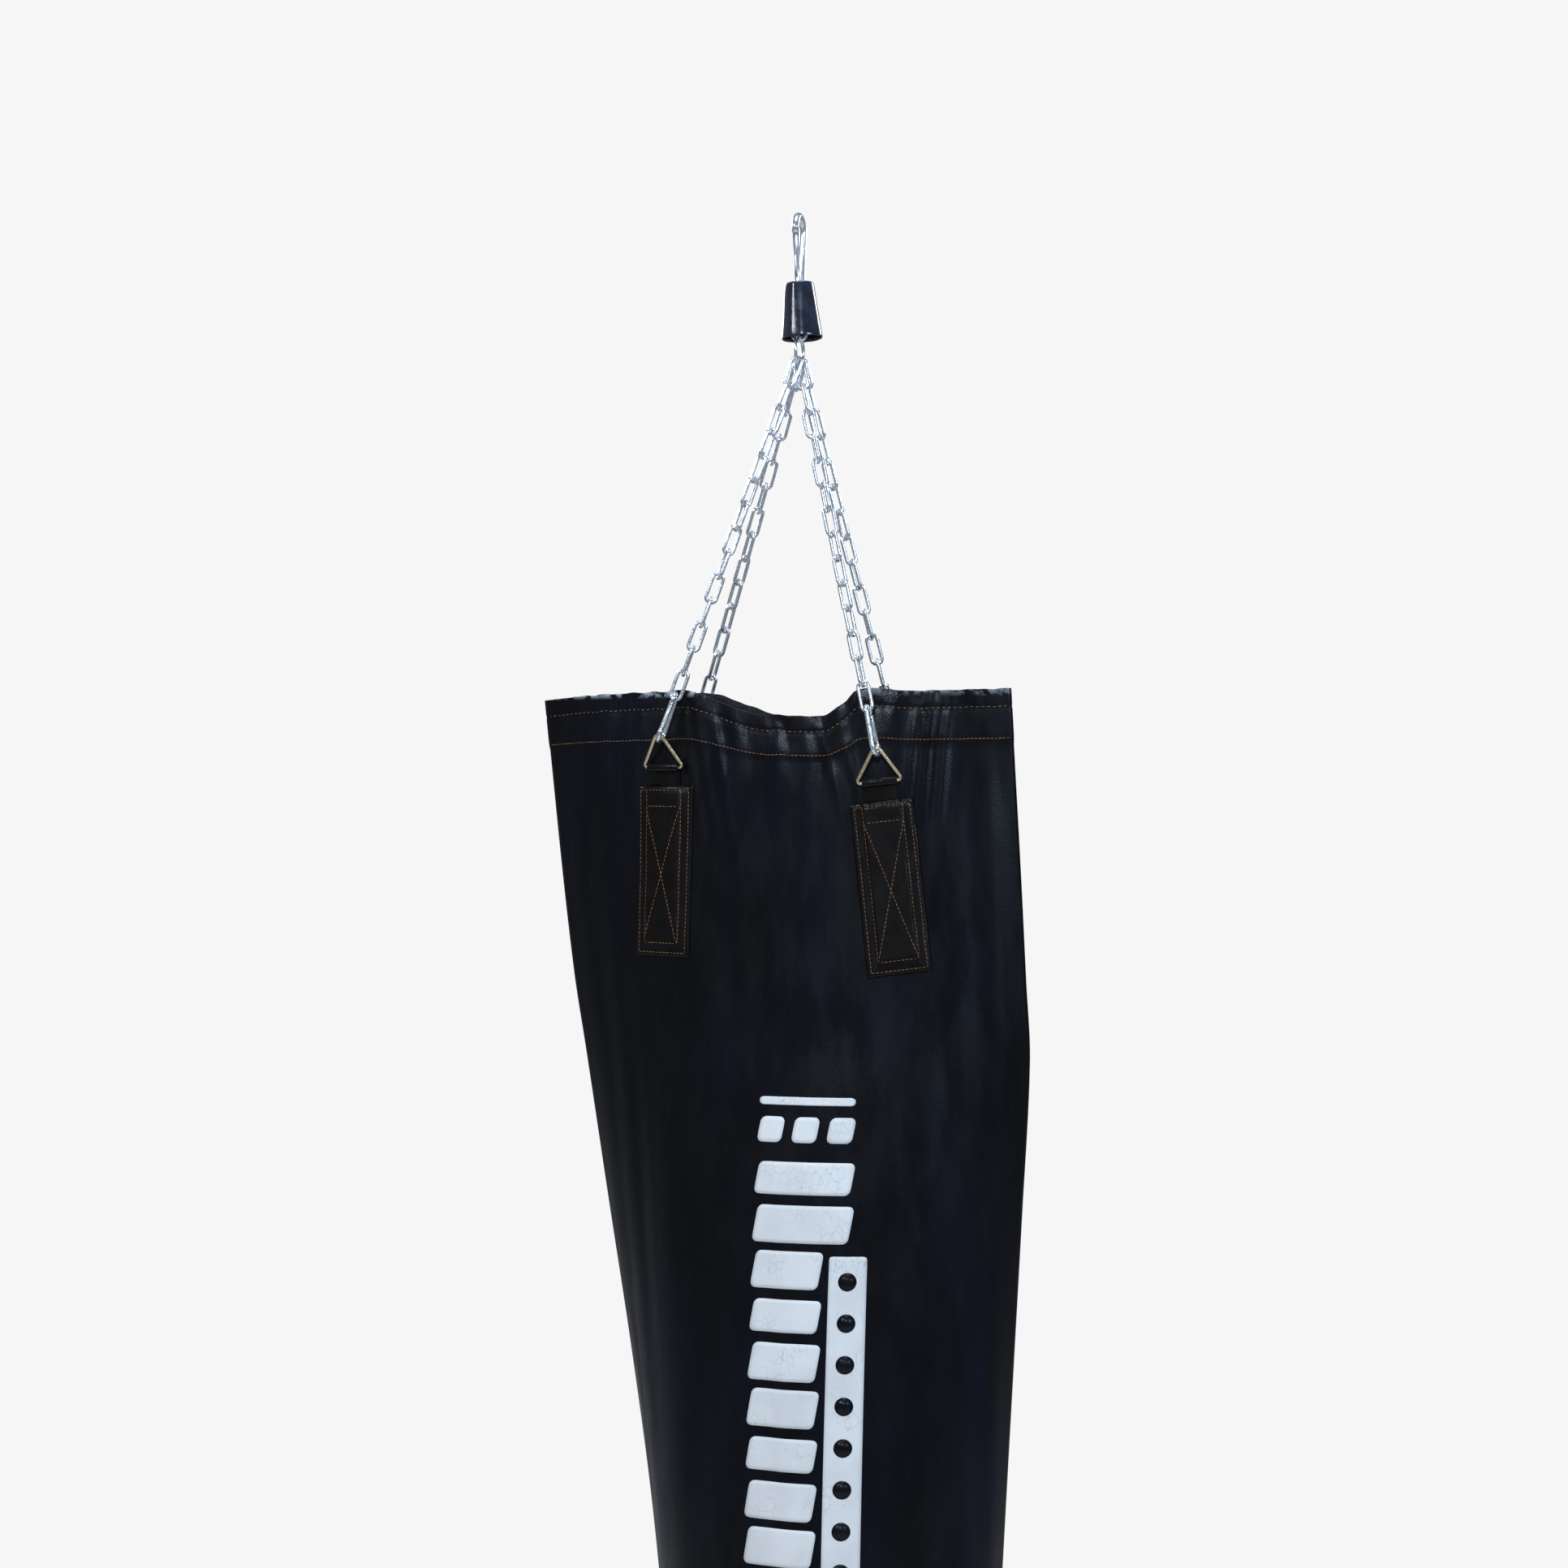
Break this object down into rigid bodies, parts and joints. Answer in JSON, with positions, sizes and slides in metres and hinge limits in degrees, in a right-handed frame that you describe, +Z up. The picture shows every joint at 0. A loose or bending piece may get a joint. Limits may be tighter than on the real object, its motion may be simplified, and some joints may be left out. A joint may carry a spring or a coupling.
{
  "type": "heavy bag",
  "caption": "Unfilled black heavy bag hanging by chains and snap hooks from a swivel with a tapered cover and a top snap hook.",
  "frame": {"origin": "inside of the crown of the top snap hook, where a ceiling eye carries the bag", "axes": "+Z up along the line of pull; the printed front faces -Y; +X to the right seen from the front"},
  "size_m": [0.5564, 0.3498, 1.739],
  "materials": {
    "bag_vinyl": "glossy coated black",
    "bag_lining": "matt woven backing",
    "strap_leather": "satin black",
    "piping": "satin black cord piping",
    "cover_vinyl": "high gloss black",
    "polished_steel": "bright zinc",
    "chain_steel": "bright zinc",
    "rivet_steel": "satin",
    "ring_brass": "pale plated"
  },
  "bodies": {
    "top_hook": {"top_hook": "polished_steel", "top_hook_rivet": "rivet_steel"},
    "swivel_eye": {"swivel_eye": "polished_steel"},
    "swivel": {"swivel_barrel": "polished_steel", "swivel_lower_eye": "polished_steel", "swivel_balls": "rivet_steel", "swivel_cover": "cover_vinyl"},
    "bag": {"back_mouth_band": "bag_lining", "back_panel": "bag_vinyl", "bottom_disc": "bag_vinyl", "bottom_welt": "piping", "chain_back_left": "chain_steel", "chain_back_right": "chain_steel", "chain_front_left": "chain_steel", "chain_front_right": "chain_steel", "front_mouth_band": "bag_lining", "front_panel": "bag_vinyl", "main_ring": "polished_steel", "snap_hook_back_left": "polished_steel", "snap_hook_back_left_rivet": "rivet_steel", "snap_hook_back_right": "polished_steel", "snap_hook_back_right_rivet": "rivet_steel", "snap_hook_front_left": "polished_steel", "snap_hook_front_left_rivet": "rivet_steel", "snap_hook_front_right": "polished_steel", "snap_hook_front_right_rivet": "rivet_steel", "strap_loop_back_left": "strap_leather", "strap_loop_back_right": "strap_leather", "strap_loop_front_left": "strap_leather", "strap_loop_front_right": "strap_leather", "strap_pad_back_left": "strap_leather", "strap_pad_back_right": "strap_leather", "strap_pad_front_left": "strap_leather", "strap_pad_front_right": "strap_leather", "triangle_ring_back_left": "ring_brass", "triangle_ring_back_right": "ring_brass", "triangle_ring_front_left": "ring_brass", "triangle_ring_front_right": "ring_brass"},
    "top_gate": {"top_hook_gate": "polished_steel"},
    "gate_front_left": {"snap_hook_front_left_gate": "polished_steel"},
    "gate_front_right": {"snap_hook_front_right_gate": "polished_steel"},
    "gate_back_left": {"snap_hook_back_left_gate": "polished_steel"},
    "gate_back_right": {"snap_hook_back_right_gate": "polished_steel"}
  },
  "joints": [
    {"name": "top_gate_open", "type": "hinge", "parent": "top_hook", "child": "top_gate", "pos_m": [0, -0.00805, -0.07001], "axis": [-1, 0, 0], "range_deg": [0, 20], "stiffness_Nm_per_rad": 0.05},
    {"name": "swing_side", "type": "hinge", "parent": "top_hook", "child": "swivel_eye", "pos_m": [0, 0, -0.083], "axis": [0, 1, 0], "range_deg": [-20, 20]},
    {"name": "swivel_spin", "type": "hinge", "parent": "swivel_eye", "child": "swivel", "pos_m": [0, 0, -0.1], "axis": [0, 0, 1], "continuous": true},
    {"name": "swing_front", "type": "hinge", "parent": "swivel", "child": "bag", "pos_m": [0, 0, -0.133], "axis": [1, 0, 0], "range_deg": [-20, 20]},
    {"name": "gate_front_left_open", "type": "hinge", "parent": "bag", "child": "gate_front_left", "pos_m": [-0.12794, -0.06475, -0.53596], "axis": [0.9431, 0.0617, -0.3268], "range_deg": [0, 20], "stiffness_Nm_per_rad": 0.02},
    {"name": "gate_front_right_open", "type": "hinge", "parent": "bag", "child": "gate_front_right", "pos_m": [0.09277, -0.04964, -0.55204], "axis": [-0.9703, 0.0558, -0.2356], "range_deg": [0, 20], "stiffness_Nm_per_rad": 0.02},
    {"name": "gate_back_left_open", "type": "hinge", "parent": "bag", "child": "gate_back_left", "pos_m": [-0.12787, 0.06426, -0.53597], "axis": [-0.9426, 0.0575, 0.329], "range_deg": [0, 20], "stiffness_Nm_per_rad": 0.02},
    {"name": "gate_back_right_open", "type": "hinge", "parent": "bag", "child": "gate_back_right", "pos_m": [0.09282, 0.05011, -0.5519], "axis": [0.9705, 0.0586, 0.2338], "range_deg": [0, 20], "stiffness_Nm_per_rad": 0.02}
  ]
}
